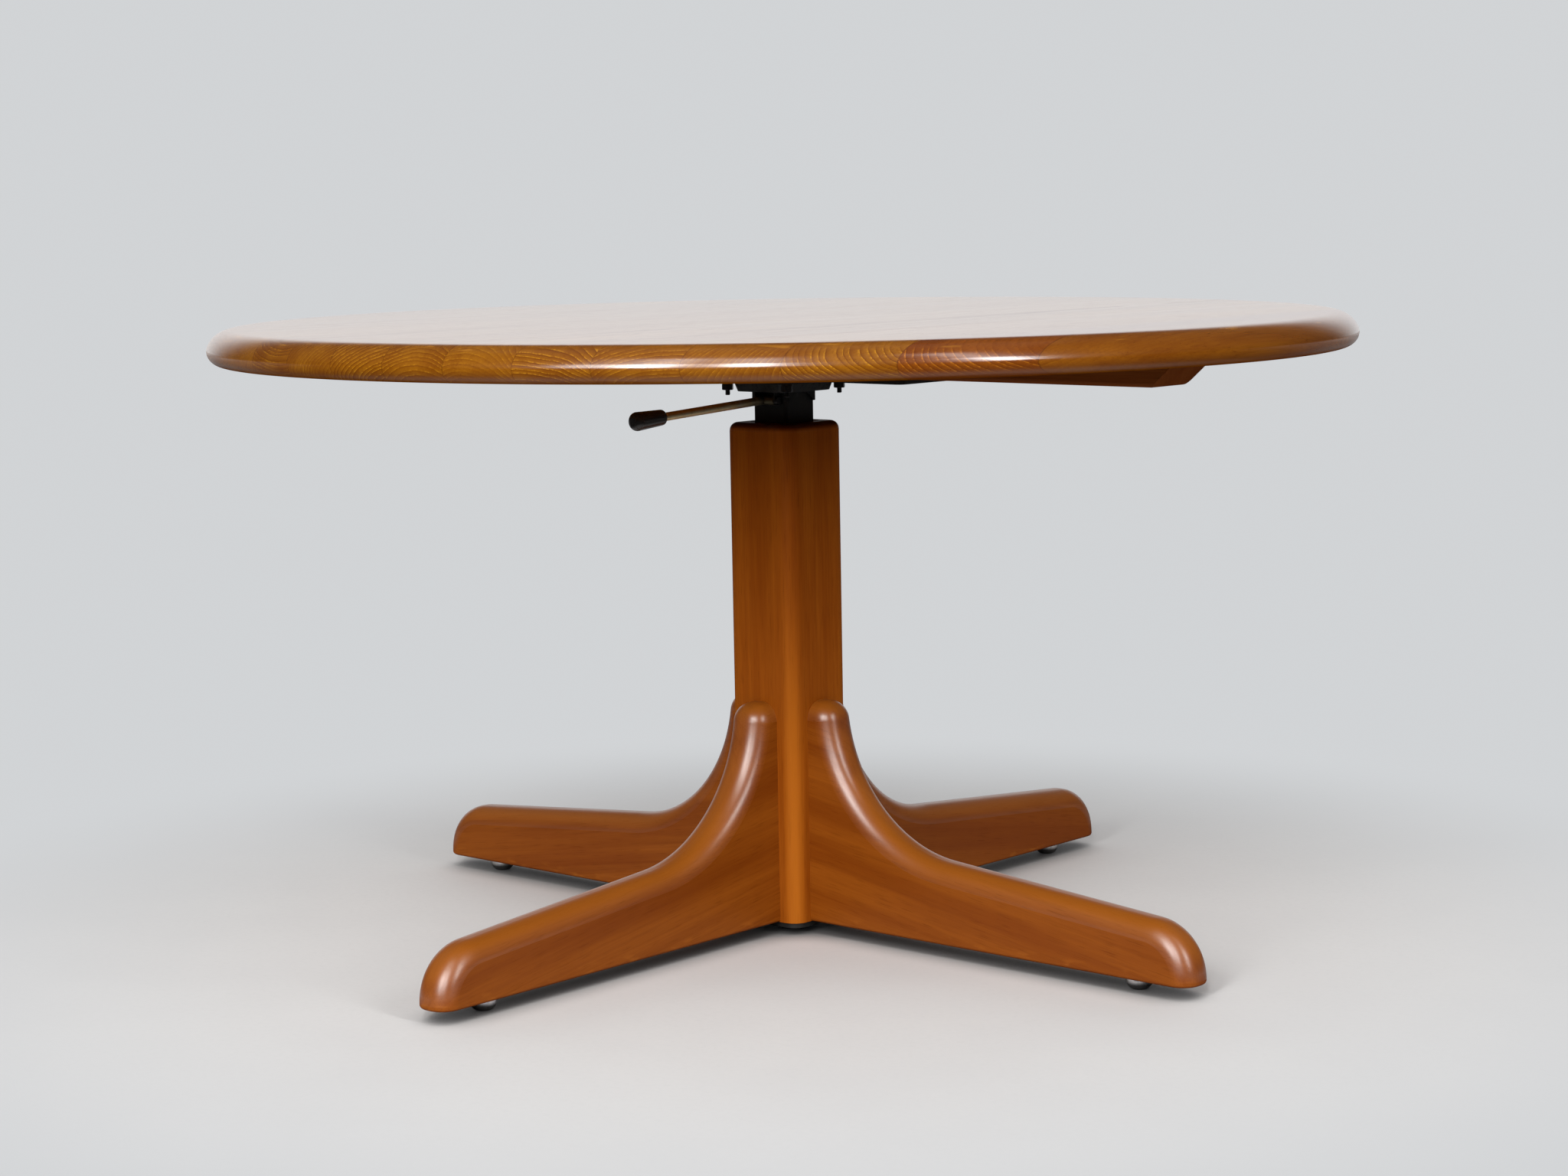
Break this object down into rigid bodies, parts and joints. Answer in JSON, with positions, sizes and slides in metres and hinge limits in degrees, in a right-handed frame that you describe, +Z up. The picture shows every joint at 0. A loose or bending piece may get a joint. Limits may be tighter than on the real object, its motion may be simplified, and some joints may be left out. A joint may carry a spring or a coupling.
{
  "type": "telescoping pedestal table",
  "caption": "Round teak table on a square wooden column with swept legs; a lever under the top releases a gas spring, so that the top rises and falls on a square steel tube.",
  "frame": {"origin": "on the floor under the middle of the column, with the table lowered", "axes": "+Z up, the release lever points along -Y, the batten under the top lies along X and a leg points along each of +X, +Y, -X and -Y"},
  "size_m": [1.0998, 1.1, 0.6],
  "materials": {
    "teak_top": "lacquered teak boards",
    "teak_batten": "satin teak",
    "teak_column": "satin lacquered teak",
    "teak_legs": "satin lacquered teak, rubbed bright on the edges",
    "beech": "plain beech",
    "black_steel": "black enamel",
    "grey_pressing": "dull dark grey phosphate",
    "zinc_steel": "dulled zinc plating",
    "yellow_zinc": "yellowed zinc plating",
    "black_grip": "black moulded grip",
    "black_nylon": "black nylon",
    "spring_enamel": "black enamel",
    "bright_rod": "ground and chromed",
    "rubber": "oil-resistant rubber",
    "nickel": "worn nickel plating"
  },
  "bodies": {
    "base": {"column": "teak_column", "leg_front": "teak_legs", "leg_right": "teak_legs", "leg_back": "teak_legs", "leg_left": "teak_legs", "leg_dowels": "beech", "base_plate": "black_steel", "base_screws": "zinc_steel", "glide_front": "nickel", "glide_right": "nickel", "glide_back": "nickel", "glide_left": "nickel", "guide_tube": "black_steel", "upper_bush": "black_nylon", "spring_seat": "zinc_steel", "rod_nuts": "zinc_steel", "gas_rod": "bright_rod", "gas_piston": "bright_rod"},
    "top": {"table_top": "teak_top", "batten": "teak_batten", "batten_screws": "zinc_steel", "head_plate": "black_steel", "plate_screws": "zinc_steel", "lift_pan": "grey_pressing", "pan_bolts": "zinc_steel", "pan_washers": "zinc_steel", "pan_nuts": "zinc_steel", "inner_tube": "black_steel", "lower_bush": "black_nylon", "spring_bridge": "zinc_steel", "gas_cylinder": "spring_enamel", "rod_guide": "black_nylon", "rod_seal": "rubber", "valve_body": "bright_rod", "valve_nut": "zinc_steel", "lever_bracket": "black_steel", "lever_pin": "zinc_steel", "pin_clip": "zinc_steel"},
    "lever": {"lever_arm": "yellow_zinc", "lever_grip": "black_grip"},
    "release": {"release_pin": "bright_rod"}
  },
  "joints": [
    {"name": "height", "type": "slide", "parent": "base", "child": "top", "axis": [0, 0, 1], "range_m": [0, 0.15]},
    {"name": "lever_swing", "type": "hinge", "parent": "top", "child": "lever", "pos_m": [0, -0.0281, 0.521], "axis": [-1, 0, 0], "range_deg": [0, 8], "stiffness_Nm_per_rad": 5},
    {"name": "release_press", "type": "slide", "parent": "top", "child": "release", "axis": [0, 0, -1], "range_m": [0, 0.004]}
  ],
  "couplings": [
    {"joint": "release_press", "follows": "lever_swing", "m_per_rad": 0.0281}
  ]
}
